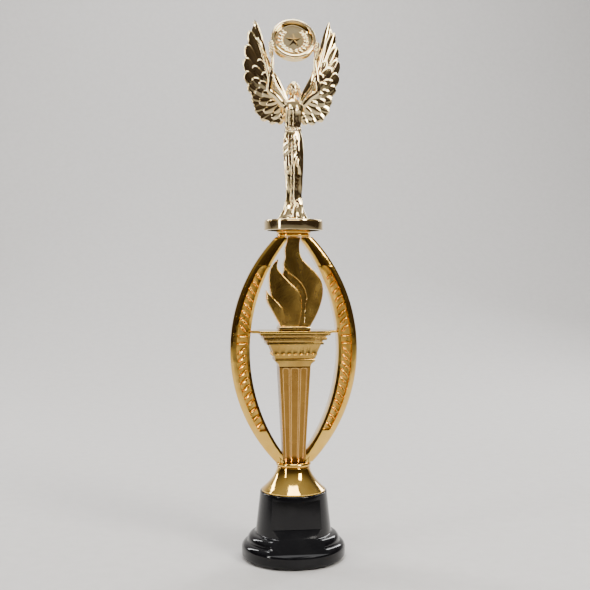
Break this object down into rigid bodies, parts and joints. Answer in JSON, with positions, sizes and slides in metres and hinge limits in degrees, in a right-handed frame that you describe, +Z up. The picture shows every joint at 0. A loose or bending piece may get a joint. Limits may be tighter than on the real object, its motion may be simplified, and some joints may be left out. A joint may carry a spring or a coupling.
{
  "type": "figure trophy",
  "caption": "Tall award trophy: a winged figure holds up a medal on an oval frame with a fluted torch in it, on a flared collar and a weighted round base.",
  "frame": {"origin": "middle of the felt pad's underside, on the surface the trophy stands on", "axes": "+Z up the trophy, -Y towards the front, where the name plate flat and the medal face, +X to the right as seen from the front"},
  "size_m": [0.0902, 0.0738, 0.3826],
  "materials": {
    "black_plastic": "black, moulded, mirror gloss",
    "gold": "metallised deep gold, mirror bright",
    "satin_gold": "metallised gold over a fine sanded texture, with bright raised edges",
    "pale_gold": "metallised champagne gold, mirror bright",
    "zinc_steel": "zinc plated",
    "plaster": "rough cast",
    "felt": "felt"
  },
  "bodies": {
    "root": {"felt_pad": "felt", "base_shell": "black_plastic", "ballast": "plaster", "base_washer": "zinc_steel", "base_nut": "zinc_steel", "tie_rod": "zinc_steel", "figure_nut": "zinc_steel", "flared_collar": "gold", "frame_foot": "gold", "arch_left": "gold", "arch_right": "gold", "torch_column": "satin_gold", "torch_capital": "satin_gold", "abacus_plate": "satin_gold", "torch_flame": "satin_gold", "frame_crown": "gold", "figure_plate": "pale_gold", "winged_figure_body": "pale_gold", "wing_left": "pale_gold", "wing_right": "pale_gold", "medal_holder": "pale_gold", "medal_insert": "pale_gold"}
  },
  "joints": []
}
